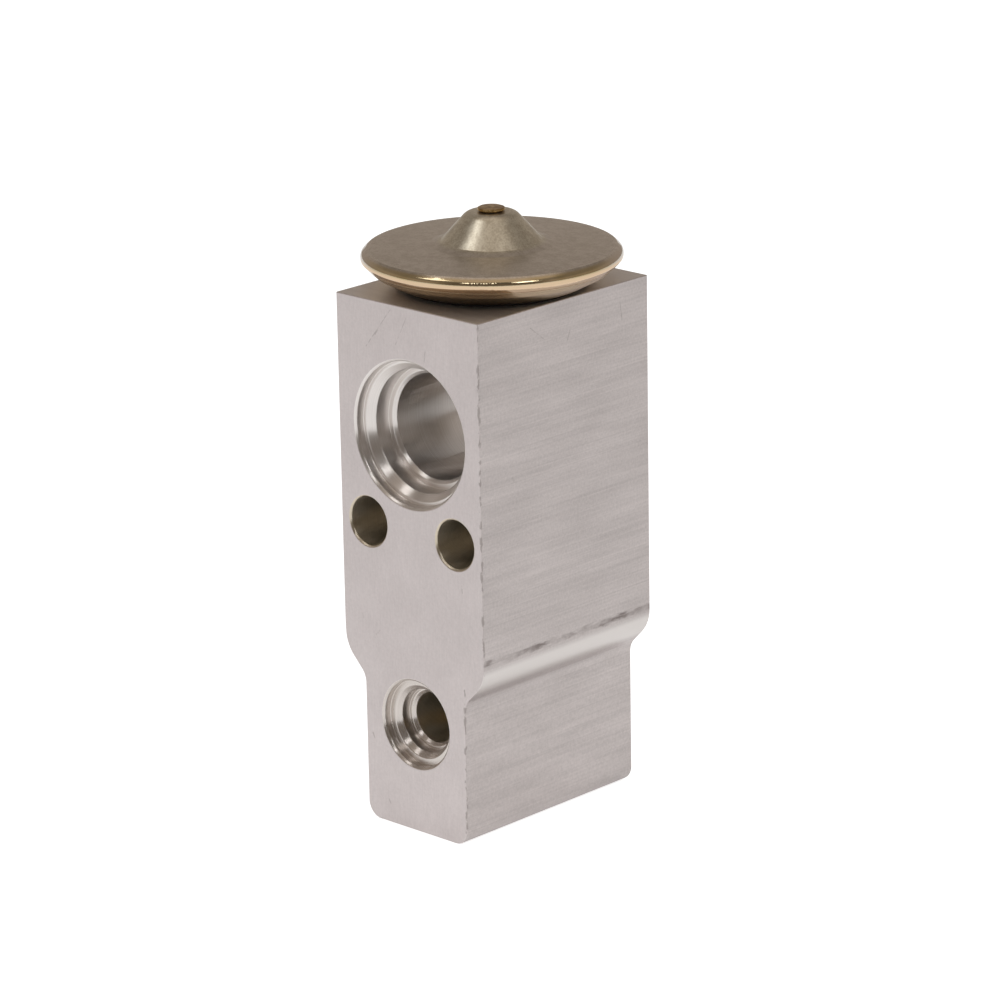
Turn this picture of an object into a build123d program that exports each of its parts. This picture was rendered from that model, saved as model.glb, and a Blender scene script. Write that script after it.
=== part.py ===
"""Thermostatic expansion valve of the block type, all sizes in millimetres.

A sawn length of extruded aluminium bar is the valve body. Its front and rear faces carry the
pipe ports, a power head is screwed into its top, and an adjusting screw closes its bottom.
The frame: +Z up, the origin at the bottom centre of the block, the front port face at -Y.
Everything that moves lies on the Z axis: the diaphragm pushes the stopper plate, the sensing
rod and the push pin down, and the pin lifts the ball off its seat against the spring.
"""

import os
from math import asin, cos, degrees, hypot, radians, sin, sqrt

from build123d import *

# ---- block ---------------------------------------------------------------------------------
block_width = 25.4
block_depth = 32.4
block_height = 72.0
foot_width = 18.25
foot_corner_radius = 2.2
shoulder_top_z = 25.6
shoulder_angle = 44.0
shoulder_outer_radius = 5.0
shoulder_inner_radius = 2.7

# ---- ports: each is a recess, a cone down to a pilot bore, a step and the passage -----------
suction_z = 54.9
suction_mouth_diameter = 20.2
suction_recess_depth = 1.5
suction_cone_diameter = 18.6
suction_pilot_diameter = 16.7
suction_pilot_depth = 4.7
suction_passage_diameter = 14.3

inlet_z = 15.05
outlet_z = 26.6
liquid_mouth_diameter = 12.5
liquid_recess_depth = 1.3
liquid_cone_diameter = 10.1
liquid_pilot_diameter = 8.7
liquid_pilot_depth = 3.3
liquid_passage_diameter = 6.9
outlet_overrun = 2.6
port_lip_chamfer = 0.32
step_chamfer = 0.45

# ---- mounting holes ------------------------------------------------------------------------
mount_hole_diameter = 6.6
mount_pitch = 15.74
mount_z = 41.6
mount_chamfer = 0.25

# ---- bores on the valve's own axis ---------------------------------------------------------
head_thread_diameter = 20.0
head_socket_depth = 6.0
head_throat_diameter = 13.0
seal_pocket_diameter = 8.0
seal_pocket_floor_z = 44.6
rod_bore_floor_z = 39.0
orifice_diameter = 3.2
seat_z = 19.5
seat_chamfer = 0.25
chamber_diameter = 10.5
adjuster_thread_diameter = 12.0
adjuster_thread_length = 5.0
bottom_chamfer = 0.6

# ---- clearances ----------------------------------------------------------------------------
running_clearance = 0.05
seating_gap = 0.02

# ---- moving rod, pin and ball --------------------------------------------------------------
rod_diameter = 6.0
rod_end_gap = 1.4
rod_spigot_diameter = 4.4
rod_spigot_length = 2.0
pin_diameter = 2.4
pin_socket_depth = 2.2
ball_diameter = 4.0
valve_lift = 0.8

# ---- power head ----------------------------------------------------------------------------
head_diameter = 34.5
head_gap = 0.45
cup_bottom_diameter = 25.3
cup_lip_diameter = 32.7
cup_slope_diameter = 31.4
cup_slope_height = 1.95
cup_lip_rise = 0.1
cup_taper_height = 1.25
cup_edge_radius = 0.3
base_flange_edge = 0.25
base_floor_thickness = 1.75
base_floor_diameter = 22.0
base_bore_diameter = 14.0
flange_step = 0.1
diaphragm_thickness = 0.2
diaphragm_clamp_diameter = 28.6
diaphragm_centre_diameter = 18.0
diaphragm_waves = 3
diaphragm_wave_height = 0.08
diaphragm_wave_radius = 0.8
cover_thickness = 0.8
plate_rise = 0.6
rim_chamfer_width = 0.8
rim_chamfer_height = 0.5
rim_radius = 0.25
hub_base_diameter = 14.2
hub_top_diameter = 6.7
hub_height = 4.15
hub_top_radius = 1.8
hub_base_radius = 0.8
stopper_diameter = 18.6
stopper_thickness = 0.8
stopper_boss_diameter = 7.4
stopper_boss_height = 2.4
plug_diameter = 3.65
plug_height = 0.5
plug_dome = 0.08
plug_stem_diameter = 1.6
plug_stem_length = 1.2

# ---- seals and rings -----------------------------------------------------------------------
head_seal_section = 1.2
rod_seal_section = 0.94
retainer_thickness = 0.4
retainer_teeth = 6
retainer_slot_width = 0.7
retainer_slot_depth = 0.45

# ---- ball carrier, damping ring and spring -------------------------------------------------
carrier_flange_diameter = 8.6
carrier_flange_thickness = 0.8
carrier_cup_diameter = 5.6
carrier_cup_height = 1.5
carrier_boss_diameter = 4.6
carrier_boss_height = 1.2
ball_seat_depth = 0.9
damper_ring_width = 1.15
damper_thickness = 0.25
damper_legs = 3
damper_leg_width = 1.6
damper_leg_height = 2.2
damper_wall_gap = 0.08
spring_outer_diameter = 8.0
spring_wire = 1.1
spring_turns = 4.5

# ---- adjusting screw -----------------------------------------------------------------------
screw_recess = 1.4
screw_thread_length = 2.4
screw_neck_diameter = 9.9
screw_top_z = 8.4
screw_boss_height = 1.0
seal_groove_z = 6.1
seal_groove_width = 1.4
adjuster_seal_section = 1.0
hex_across_flats = 5.0
hex_depth = 3.6
screw_chamfer = 0.4

# ---- values worked out from the sizes above ------------------------------------------------
rod_bore_radius = rod_diameter / 2 + running_clearance
pin_bore_radius = pin_diameter / 2 + running_clearance
suction_floor_z = suction_z - suction_passage_diameter / 2
socket_floor_z = block_height - head_socket_depth
cup_bottom_z = block_height + head_gap
base_floor_z = cup_bottom_z + base_floor_thickness
cup_slope_z = cup_bottom_z + cup_slope_height
cup_lip_z = cup_slope_z + cup_lip_rise
flange_bottom_z = cup_lip_z + cup_taper_height
diaphragm_z = flange_bottom_z + base_flange_edge
cover_bottom_z = diaphragm_z + diaphragm_thickness
rim_top_z = cover_bottom_z + cover_thickness
hub_base_z = rim_top_z + plate_rise
hub_top_z = hub_base_z + hub_height
stopper_bottom_z = base_floor_z + valve_lift + 2 * running_clearance
stopper_top_z = stopper_bottom_z + stopper_thickness
rod_shoulder_z = stopper_bottom_z - stopper_boss_height - seating_gap
rod_bottom_z = rod_bore_floor_z + rod_end_gap
ball_centre_z = seat_z - sqrt((ball_diameter / 2) ** 2 - (orifice_diameter / 2 + seating_gap) ** 2)
pin_bottom_z = ball_centre_z + ball_diameter / 2 + seating_gap
pin_top_z = rod_bottom_z + pin_socket_depth - seating_gap
carrier_top_z = ball_centre_z - ball_diameter / 2 + ball_seat_depth
flange_top_z = carrier_top_z - carrier_cup_height
spring_top_z = flange_top_z - carrier_flange_thickness

# The head's O-ring touches the stem, the cup's flat bottom and the socket's 45 degree chamfer.
head_seal_radius = head_thread_diameter / 2 + seating_gap + head_seal_section / 2
head_seal_z = cup_bottom_z - seating_gap - head_seal_section / 2
chamfer_touch = (head_seal_section / 2 + seating_gap) * sqrt(2)
socket_radius = head_thread_diameter / 2 + running_clearance
socket_mouth_radius = head_seal_radius + chamfer_touch + block_height - head_seal_z


def half_ring(radius_in, radius_out, low, high):
    """Rectangle in the XZ plane between two radii and two heights, to be revolved about Z."""
    return Polyline(
        (radius_in, low), (radius_out, low), (radius_out, high), (radius_in, high), close=True
    )


def port_outline(mouth, recess_depth, cone, pilot, pilot_depth, passage, length):
    """Half section of a port: x is the radius and y the depth below the face."""
    cone_depth = recess_depth + (cone - pilot) / 2
    wall = mouth / 2 - port_lip_chamfer
    return Polyline(
        (0, 0),
        (mouth / 2, 0),
        (wall, port_lip_chamfer),
        (wall, recess_depth),
        (cone / 2, recess_depth),
        (pilot / 2, cone_depth),
        (pilot / 2, pilot_depth),
        (passage / 2 + step_chamfer, pilot_depth),
        (passage / 2, pilot_depth + step_chamfer),
        (passage / 2, length),
        (0, length),
        close=True,
    )


def port_plane(side, height):
    """Plane through a port's axis: local x is a radius, local y runs into the block."""
    return Plane(origin=(0, side * block_depth / 2, height), x_dir=(-side, 0, 0), z_dir=(0, 0, 1))


suction_port = (
    suction_mouth_diameter,
    suction_recess_depth,
    suction_cone_diameter,
    suction_pilot_diameter,
    suction_pilot_depth,
    suction_passage_diameter,
)
liquid_port = (
    liquid_mouth_diameter,
    liquid_recess_depth,
    liquid_cone_diameter,
    liquid_pilot_diameter,
    liquid_pilot_depth,
    liquid_passage_diameter,
)
front, rear = -1, 1
ports = (
    (front, suction_z, suction_port, block_depth / 2),
    (rear, suction_z, suction_port, block_depth / 2),
    (front, inlet_z, liquid_port, block_depth / 2),
    (rear, outlet_z, liquid_port, block_depth / 2 + outlet_overrun),
)

# ---- valve body ----------------------------------------------------------------------------
with BuildPart() as valve_body:
    # The bar's section: a flat top, straight walls and an S-shaped shoulder down to the foot.
    with BuildSketch(Plane.XZ):
        with BuildLine():
            top = Line((0, block_height), (block_width / 2, block_height))
            wall = Line(top @ 1, (block_width / 2, shoulder_top_z))
            convex = JernArc(wall @ 1, wall % 1, shoulder_outer_radius, -shoulder_angle)
            concave_reach = shoulder_inner_radius * (1 - cos(radians(shoulder_angle)))
            slope_reach = (convex @ 1).X - foot_width / 2 - concave_reach
            slope = PolarLine(
                convex @ 1, slope_reach / sin(radians(shoulder_angle)), direction=convex % 1
            )
            concave = JernArc(slope @ 1, slope % 1, shoulder_inner_radius, shoulder_angle)
            side = Line(concave @ 1, (foot_width / 2, foot_corner_radius))
            corner = JernArc(side @ 1, side % 1, foot_corner_radius, -90)
            Line(corner @ 1, (0, 0))
            mirror(about=Plane.YZ)
        make_face()
    extrude(amount=block_depth / 2, both=True)

    # Four ports, each turned from its own face.
    for side_sign, height, sizes, length in ports:
        section = port_plane(side_sign, height)
        with BuildSketch(section):
            with BuildLine():
                port_outline(*sizes, length)
            make_face()
        revolve(axis=Axis(section.origin, section.y_dir), mode=Mode.SUBTRACT)

    # Two mounting holes from front to rear, lightly chamfered.
    with BuildSketch(Plane.XZ):
        with Locations((0, mount_z)):
            with GridLocations(mount_pitch, 0, 2, 1):
                Circle(mount_hole_diameter / 2)
    extrude(amount=block_depth / 2, both=True, mode=Mode.SUBTRACT)
    hole_rims = (
        valve_body.edges()
        .filter_by(GeomType.CIRCLE)
        .filter_by(lambda rim: abs(rim.radius - mount_hole_diameter / 2) < seating_gap)
    )
    chamfer(hole_rims, mount_chamfer)

    # Socket for the power head, the rod's bores, the orifice, the chamber and the bottom thread.
    with BuildSketch(Plane.XZ):
        with BuildLine():
            Polyline(
                (0, block_height),
                (socket_mouth_radius, block_height),
                (socket_radius, block_height - socket_mouth_radius + socket_radius),
                (socket_radius, socket_floor_z),
                (head_throat_diameter / 2, socket_floor_z),
                (head_throat_diameter / 2, suction_z),
                (0, suction_z),
                close=True,
            )
        make_face()
        with BuildLine():
            Polyline(
                (0, suction_z),
                (seal_pocket_diameter / 2, suction_z),
                (seal_pocket_diameter / 2, seal_pocket_floor_z),
                (rod_bore_radius, seal_pocket_floor_z),
                (rod_bore_radius, rod_bore_floor_z),
                (pin_bore_radius, rod_bore_floor_z),
                (pin_bore_radius, outlet_z),
                (0, outlet_z),
                close=True,
            )
        make_face()
        with BuildLine():
            Polyline(
                (0, outlet_z),
                (orifice_diameter / 2, outlet_z),
                (orifice_diameter / 2, seat_z + seat_chamfer),
                (orifice_diameter / 2 + seat_chamfer, seat_z),
                (chamber_diameter / 2, seat_z),
                (chamber_diameter / 2, adjuster_thread_length),
                (adjuster_thread_diameter / 2 + running_clearance, adjuster_thread_length),
                (adjuster_thread_diameter / 2 + running_clearance, bottom_chamfer),
                (adjuster_thread_diameter / 2 + running_clearance + bottom_chamfer, 0),
                (0, 0),
                close=True,
            )
        make_face()
    revolve(axis=Axis.Z, mode=Mode.SUBTRACT)
valve_body.part.label = "valve_body"

# ---- power head: cover, base, diaphragm, stopper plate, plug and seal ----------------------
head_radius = head_diameter / 2
hub_base_radius_at = hub_base_diameter / 2
hub_top_radius_at = hub_top_diameter / 2
hub_slope = hypot(hub_base_radius_at - hub_top_radius_at, hub_height)
hub_wall_shift = cover_thickness * hub_slope / hub_height

with BuildPart() as head_cover:
    with BuildSketch(Plane.XZ):
        with BuildLine():
            outside = FilletPolyline(
                (plug_stem_diameter / 2, hub_top_z),
                (hub_top_radius_at, hub_top_z),
                (hub_base_radius_at, hub_base_z),
                (head_radius - rim_chamfer_width, rim_top_z),
                (head_radius, rim_top_z - rim_chamfer_height),
                (head_radius, cover_bottom_z),
                radius=(hub_top_radius, hub_base_radius, rim_radius, rim_radius),
            )
            inside = FilletPolyline(
                (diaphragm_clamp_diameter / 2, cover_bottom_z),
                (diaphragm_clamp_diameter / 2 - flange_step, cover_bottom_z + flange_step),
                (hub_base_radius_at - hub_wall_shift, hub_base_z - cover_thickness),
                (hub_top_radius_at - hub_wall_shift / 2, hub_top_z - cover_thickness),
                (plug_stem_diameter / 2, hub_top_z - cover_thickness),
                radius=(flange_step / 2, hub_base_radius, hub_top_radius / 2),
            )
            Line(outside @ 1, inside @ 0)
            Line(inside @ 1, outside @ 0)
        make_face()
    revolve(axis=Axis.Z)
head_cover.part.label = "head_cover"

with BuildPart() as head_base:
    with BuildSketch(Plane.XZ):
        with BuildLine():
            shell = FilletPolyline(
                (head_thread_diameter / 2, cup_bottom_z),
                (cup_bottom_diameter / 2, cup_bottom_z),
                (cup_slope_diameter / 2, cup_slope_z),
                (cup_lip_diameter / 2, cup_lip_z),
                (head_radius - flange_step, flange_bottom_z),
                (head_radius - flange_step, diaphragm_z),
                radius=(cup_edge_radius, cup_edge_radius, cup_edge_radius / 2, flange_step),
            )
            dish = Polyline(
                shell @ 1,
                (diaphragm_clamp_diameter / 2, diaphragm_z),
                (base_floor_diameter / 2, base_floor_z),
                (base_bore_diameter / 2, base_floor_z),
                (base_bore_diameter / 2, socket_floor_z + seating_gap),
                (head_thread_diameter / 2 - flange_step, socket_floor_z + seating_gap),
                (head_thread_diameter / 2, socket_floor_z + seating_gap + flange_step),
                shell @ 0,
            )
        make_face()
    revolve(axis=Axis.Z)
head_base.part.label = "head_base"

# The diaphragm is a thin sheet: flat clamped rim, concentric waves, flat centre.
centre_radius = diaphragm_centre_diameter / 2
clamp_radius = diaphragm_clamp_diameter / 2
wave_pitch = (clamp_radius - centre_radius) / diaphragm_waves
centre_bottom_z = stopper_top_z + seating_gap
wave_points = [(centre_radius, centre_bottom_z)]
quarter_pitch = wave_pitch / 4
for wave in range(diaphragm_waves):
    start = centre_radius + wave * wave_pitch
    level = centre_bottom_z + (wave + 0.5) / diaphragm_waves * (diaphragm_z - centre_bottom_z)
    wave_points.append((start + quarter_pitch, level + diaphragm_wave_height))
    wave_points.append((start + 3 * quarter_pitch, level - diaphragm_wave_height))
wave_points.append((clamp_radius, diaphragm_z))
lower_points = [(0, centre_bottom_z), *wave_points, (head_radius - 2 * flange_step, diaphragm_z)]
upper_points = [(radius, level + diaphragm_thickness) for radius, level in lower_points]

with BuildPart() as diaphragm:
    with BuildSketch(Plane.XZ):
        with BuildLine():
            lower = FilletPolyline(*lower_points, radius=diaphragm_wave_radius)
            upper = FilletPolyline(*upper_points, radius=diaphragm_wave_radius)
            Line(lower @ 1, upper @ 1)
            Line(upper @ 0, lower @ 0)
        make_face()
    revolve(axis=Axis.Z)
diaphragm.part.label = "diaphragm"

with BuildPart() as stopper_plate:
    with BuildSketch(Plane.XZ):
        with BuildLine():
            Polyline(
                (0, stopper_top_z),
                (stopper_diameter / 2 - flange_step, stopper_top_z),
                (stopper_diameter / 2, stopper_top_z - flange_step),
                (stopper_diameter / 2, stopper_bottom_z),
                (stopper_boss_diameter / 2, stopper_bottom_z),
                (stopper_boss_diameter / 2, rod_shoulder_z + seating_gap),
                (rod_spigot_diameter / 2 + running_clearance, rod_shoulder_z + seating_gap),
                (
                    rod_spigot_diameter / 2 + running_clearance,
                    rod_shoulder_z + rod_spigot_length + seating_gap,
                ),
                (0, rod_shoulder_z + rod_spigot_length + seating_gap),
                close=True,
            )
        make_face()
    revolve(axis=Axis.Z)
stopper_plate.part.label = "stopper_plate"

plug_dome_radius = ((plug_diameter / 2) ** 2 + plug_dome**2) / (2 * plug_dome)
with BuildPart() as charge_plug:
    with BuildSketch(Plane.XZ):
        with BuildLine():
            Polyline(
                (0, hub_top_z - plug_stem_length),
                (plug_stem_diameter / 2 - seating_gap, hub_top_z - plug_stem_length),
                (plug_stem_diameter / 2 - seating_gap, hub_top_z + seating_gap),
                (plug_diameter / 2, hub_top_z + seating_gap),
                (plug_diameter / 2, hub_top_z + plug_height),
            )
            dome = JernArc(
                (0, hub_top_z + plug_height + plug_dome),
                (1, 0),
                plug_dome_radius,
                -degrees(asin(plug_diameter / 2 / plug_dome_radius)),
            )
            Line(dome @ 0, (0, hub_top_z - plug_stem_length))
        make_face()
    revolve(axis=Axis.Z)
charge_plug.part.label = "charge_plug"


def ring_seal(section_diameter, centre_radius_at, centre_z):
    """O-ring about the Z axis, as a private solid."""
    return Pos(0, 0, centre_z) * Torus(centre_radius_at, section_diameter / 2, mode=Mode.PRIVATE)


with BuildPart() as head_seal:
    add(ring_seal(head_seal_section, head_seal_radius, head_seal_z))
head_seal.part.label = "head_seal"

# ---- sensing rod, push pin, ball -----------------------------------------------------------
with BuildPart() as sensing_rod:
    with BuildSketch(Plane.XZ):
        with BuildLine():
            Polyline(
                (0, rod_bottom_z + pin_socket_depth),
                (pin_bore_radius, rod_bottom_z + pin_socket_depth),
                (pin_bore_radius, rod_bottom_z),
                (rod_diameter / 2 - flange_step, rod_bottom_z),
                (rod_diameter / 2, rod_bottom_z + flange_step),
                (rod_diameter / 2, rod_shoulder_z),
                (rod_spigot_diameter / 2, rod_shoulder_z),
                (rod_spigot_diameter / 2, rod_shoulder_z + rod_spigot_length),
                (0, rod_shoulder_z + rod_spigot_length),
                close=True,
            )
        make_face()
    revolve(axis=Axis.Z)
sensing_rod.part.label = "sensing_rod"

with BuildPart() as push_pin:
    with BuildSketch(Plane.XY.offset(pin_bottom_z)):
        Circle(pin_diameter / 2)
    extrude(amount=pin_top_z - pin_bottom_z)
    chamfer(push_pin.edges().filter_by(GeomType.CIRCLE), seat_chamfer)
push_pin.part.label = "push_pin"

with BuildPart() as valve_ball:
    with BuildSketch(Plane.XZ):
        with BuildLine():
            CenterArc((0, ball_centre_z), ball_diameter / 2, -90, 180)
            Line(
                (0, ball_centre_z + ball_diameter / 2),
                (0, ball_centre_z - ball_diameter / 2),
            )
        make_face()
    revolve(axis=Axis.Z)
valve_ball.part.label = "valve_ball"

# ---- rod seal and its toothed retaining ring -----------------------------------------------
rod_seal_radius = rod_diameter / 2 + seating_gap + rod_seal_section / 2
rod_seal_z = seal_pocket_floor_z + seating_gap + rod_seal_section / 2
retainer_z = rod_seal_z + rod_seal_section / 2 + seating_gap
with BuildPart() as rod_seal:
    add(ring_seal(rod_seal_section, rod_seal_radius, rod_seal_z))
rod_seal.part.label = "rod_seal"

with BuildPart() as rod_seal_retainer:
    with BuildSketch(Plane.XY.offset(retainer_z)):
        Circle(seal_pocket_diameter / 2 - seating_gap)
        Circle(rod_bore_radius, mode=Mode.SUBTRACT)
        with PolarLocations(seal_pocket_diameter / 2, retainer_teeth):
            Rectangle(2 * retainer_slot_depth, retainer_slot_width, mode=Mode.SUBTRACT)
    extrude(amount=retainer_thickness)
rod_seal_retainer.part.label = "rod_seal_retainer"

# ---- ball carrier --------------------------------------------------------------------------
with BuildPart() as ball_carrier:
    with BuildSketch(Plane.XZ):
        with BuildLine():
            Polyline(
                (0, spring_top_z - carrier_boss_height),
                (carrier_boss_diameter / 2, spring_top_z - carrier_boss_height),
                (carrier_boss_diameter / 2, spring_top_z),
                (carrier_flange_diameter / 2, spring_top_z),
                (carrier_flange_diameter / 2, flange_top_z),
                (carrier_cup_diameter / 2, flange_top_z),
                (carrier_cup_diameter / 2, carrier_top_z),
                (0, carrier_top_z),
                close=True,
            )
        make_face()
    revolve(axis=Axis.Z)
    with BuildSketch(Plane.XZ):
        with BuildLine():
            CenterArc((0, ball_centre_z), ball_diameter / 2 + seating_gap, -90, 180)
            Line(
                (0, ball_centre_z + ball_diameter / 2 + seating_gap),
                (0, ball_centre_z - ball_diameter / 2 - seating_gap),
            )
        make_face()
    revolve(axis=Axis.Z, mode=Mode.SUBTRACT)
    spring_edge = ball_carrier.edges().filter_by(GeomType.CIRCLE).sort_by(Axis.Z)[0]
    chamfer(spring_edge, seat_chamfer)
ball_carrier.part.label = "ball_carrier"

# ---- damping ring: a thin washer with bent legs that rub on the chamber's wall --------------
damper_z = flange_top_z + seating_gap
damper_outer = carrier_cup_diameter / 2 + running_clearance + damper_ring_width
leg_reach = chamber_diameter / 2 - damper_wall_gap - damper_outer
with BuildPart() as damping_spring:
    with BuildSketch(Plane.XY.offset(damper_z)):
        Circle(damper_outer)
        Circle(carrier_cup_diameter / 2 + running_clearance, mode=Mode.SUBTRACT)
    extrude(amount=damper_thickness)
    with BuildSketch(Plane.XZ) as leg_side:
        with BuildLine():
            leg_foot = damper_outer - damper_ring_width / 2
            Polyline(
                (leg_foot, damper_z),
                (damper_outer, damper_z),
                (damper_outer + leg_reach, damper_z + damper_leg_height),
                (damper_outer + leg_reach - damper_thickness, damper_z + damper_leg_height),
                (damper_outer - damper_thickness / 2, damper_z + damper_thickness),
                (leg_foot, damper_z + damper_thickness),
                close=True,
            )
        make_face()
    leg = extrude(amount=damper_leg_width / 2, both=True)
    chamber_guard = Pos(0, 0, damper_z) * Cylinder(
        chamber_diameter / 2 - damper_wall_gap / 2,
        damper_leg_height,
        align=(Align.CENTER, Align.CENTER, Align.MIN),
        mode=Mode.PRIVATE,
    )
    for turn in range(1, damper_legs):
        add(leg.rotate(Axis.Z, turn * 360 / damper_legs))
    add(chamber_guard, mode=Mode.INTERSECT)
damping_spring.part.label = "damping_spring"

# ---- adjusting screw and its seal ----------------------------------------------------------
screw_thread_top_z = screw_recess + screw_thread_length
groove_radius = chamber_diameter / 2 - running_clearance - adjuster_seal_section - 2 * seating_gap
spring_hole_radius = spring_outer_diameter / 2 - spring_wire
with BuildPart() as adjusting_screw:
    with BuildSketch(Plane.XZ):
        with BuildLine():
            Polyline(
                (0, screw_recess),
                (adjuster_thread_diameter / 2 - screw_chamfer, screw_recess),
                (adjuster_thread_diameter / 2, screw_recess + screw_chamfer),
                (adjuster_thread_diameter / 2, screw_thread_top_z - screw_chamfer),
                (adjuster_thread_diameter / 2 - screw_chamfer, screw_thread_top_z),
                (screw_neck_diameter / 2, screw_thread_top_z),
                (screw_neck_diameter / 2, seal_groove_z),
                (groove_radius, seal_groove_z),
                (groove_radius, seal_groove_z + seal_groove_width),
                (screw_neck_diameter / 2, seal_groove_z + seal_groove_width),
                (screw_neck_diameter / 2, screw_top_z),
                (spring_hole_radius - running_clearance, screw_top_z),
                (spring_hole_radius - running_clearance - seat_chamfer, screw_top_z + screw_boss_height),
                (0, screw_top_z + screw_boss_height),
                close=True,
            )
        make_face()
    revolve(axis=Axis.Z)
    with BuildSketch(Plane.XY.offset(screw_recess)):
        RegularPolygon(hex_across_flats / 2, 6, major_radius=False)
    extrude(amount=hex_depth, mode=Mode.SUBTRACT)
adjusting_screw.part.label = "adjusting_screw"

adjuster_seal_radius = groove_radius + seating_gap + adjuster_seal_section / 2
with BuildPart() as adjuster_seal:
    add(ring_seal(adjuster_seal_section, adjuster_seal_radius, seal_groove_z + seal_groove_width / 2))
adjuster_seal.part.label = "adjuster_seal"

# ---- superheat spring: a compression spring with ground ends --------------------------------
spring_bottom_z = screw_top_z + seating_gap
spring_length = spring_top_z - seating_gap - spring_bottom_z
coil_radius = (spring_outer_diameter - spring_wire) / 2
spring_pitch = spring_length / spring_turns
with BuildPart() as superheat_spring:
    with BuildLine(Plane.XY.offset(spring_bottom_z)) as coil:
        Helix(pitch=spring_pitch, height=spring_length, radius=coil_radius)
    with BuildSketch(Plane(origin=coil.line @ 0, z_dir=coil.line % 0)):
        Circle(spring_wire / 2)
    sweep(is_frenet=True)
    ends = Pos(0, 0, spring_bottom_z) * Cylinder(
        spring_outer_diameter,
        spring_length,
        align=(Align.CENTER, Align.CENTER, Align.MIN),
        mode=Mode.PRIVATE,
    )
    add(ends, mode=Mode.INTERSECT)
superheat_spring.part.label = "superheat_spring"

# ---- one STEP file for each piece ----------------------------------------------------------
os.makedirs("parts", exist_ok=True)
pieces = (
    valve_body,
    head_cover,
    head_base,
    diaphragm,
    stopper_plate,
    charge_plug,
    head_seal,
    sensing_rod,
    push_pin,
    valve_ball,
    rod_seal,
    rod_seal_retainer,
    ball_carrier,
    damping_spring,
    adjusting_screw,
    adjuster_seal,
    superheat_spring,
)
for piece in pieces:
    export_step(piece.part, f"parts/{piece.part.label}.step")
    print(piece.part.label, round(piece.part.volume, 3))
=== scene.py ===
# %% [markdown]
# A block-type expansion valve is an aluminium block with turned pipe ports and a round steel
# power head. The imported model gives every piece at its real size, and this script dresses it:
# it adds finer surfaces, finishes, light and a camera. Blender works in metres, but this object
# is easier to think of in millimetres, so MM turns one into the other.

import bmesh
import bpy
import numpy as np
from mathutils import Matrix, Vector


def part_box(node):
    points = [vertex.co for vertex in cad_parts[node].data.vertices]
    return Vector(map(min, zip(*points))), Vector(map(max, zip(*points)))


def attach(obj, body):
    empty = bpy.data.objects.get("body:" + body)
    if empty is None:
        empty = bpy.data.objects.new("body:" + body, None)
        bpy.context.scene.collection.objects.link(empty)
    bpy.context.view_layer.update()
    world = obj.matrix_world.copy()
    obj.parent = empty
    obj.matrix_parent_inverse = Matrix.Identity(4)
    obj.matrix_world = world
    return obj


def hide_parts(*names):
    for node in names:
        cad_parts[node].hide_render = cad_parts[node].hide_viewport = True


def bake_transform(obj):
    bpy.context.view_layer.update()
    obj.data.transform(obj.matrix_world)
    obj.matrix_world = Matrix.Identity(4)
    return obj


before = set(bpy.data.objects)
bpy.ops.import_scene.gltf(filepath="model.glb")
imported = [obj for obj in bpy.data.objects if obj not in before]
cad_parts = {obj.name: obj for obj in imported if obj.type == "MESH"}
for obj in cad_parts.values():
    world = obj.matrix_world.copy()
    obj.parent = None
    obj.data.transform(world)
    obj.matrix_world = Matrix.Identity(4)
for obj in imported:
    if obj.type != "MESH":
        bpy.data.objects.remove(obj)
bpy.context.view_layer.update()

MM = 0.001

# %% [markdown]
# The camera comes first, because every finish is judged through it. It stands to the right of
# the port face and a little above, far away and with a long lens, which keeps the block's edges
# nearly parallel. Its turn is a compass angle about the block's axis, followed by a tilt down
# and a slight roll, so its matrix is built from those three angles.

# %% Camera
CAMERA_PLACE = (415.069, -433.677, 229.796)
CAMERA_COMPASS = 43.698
CAMERA_TILT = 17.350
CAMERA_ROLL = -1.0152
CAMERA_LENS = 170.575

camera_data = bpy.data.cameras.new("camera")
camera_data.lens = CAMERA_LENS
camera_data.clip_start = 10 * MM
camera = bpy.data.objects.new("camera", camera_data)
camera.matrix_world = (
    Matrix.Translation(Vector(CAMERA_PLACE) * MM)
    @ Matrix.Rotation(np.radians(CAMERA_COMPASS), 4, "Z")
    @ Matrix.Rotation(np.radians(90 - CAMERA_TILT), 4, "X")
    @ Matrix.Rotation(np.radians(CAMERA_ROLL), 4, "Z")
)
bpy.context.scene.collection.objects.link(camera)
bpy.context.scene.camera = camera
bpy.context.scene.view_settings.view_transform = "Standard"
print("camera", [round(c / MM) for c in camera.location], "mm from the foot's centre")

# %% [markdown]
# Colours are written as the sRGB hex values that one reads off a colour card, and one function
# turns them to the linear values that the renderer mixes. Another adds one node, with its
# settings and its links, so that a finish reads as a list of steps. Two settings go with the
# nodes that nearly every pattern needs: EASED moves a value smoothly from one range to
# another, and COLOURS mixes two colours.

# %% Colours and nodes


def linear(hex_colour):
    """sRGB hex to linear: c/12.92 below 0.04045, else ((c + 0.055)/1.055) to the power 2.4."""
    srgb = np.array([int(hex_colour[start : start + 2], 16) for start in (0, 2, 4)]) / 255
    curve = np.where(srgb <= 0.04045, srgb / 12.92, ((srgb + 0.055) / 1.055) ** 2.4)
    return (*curve.tolist(), 1.0)


def add_node(tree, kind, inputs=None, **settings):
    """Add a node, then set each input to a value, or link it to a socket or a node's output."""
    made = tree.nodes.new("ShaderNode" + kind)
    for name, value in settings.items():
        setattr(made, name, value)
    for socket, value in (inputs or {}).items():
        if isinstance(value, bpy.types.Node):
            value = next(output for output in value.outputs if output.enabled)
        if isinstance(value, bpy.types.NodeSocket):
            tree.links.new(value, made.inputs[socket])
        else:
            made.inputs[socket].default_value = value
    return made


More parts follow.
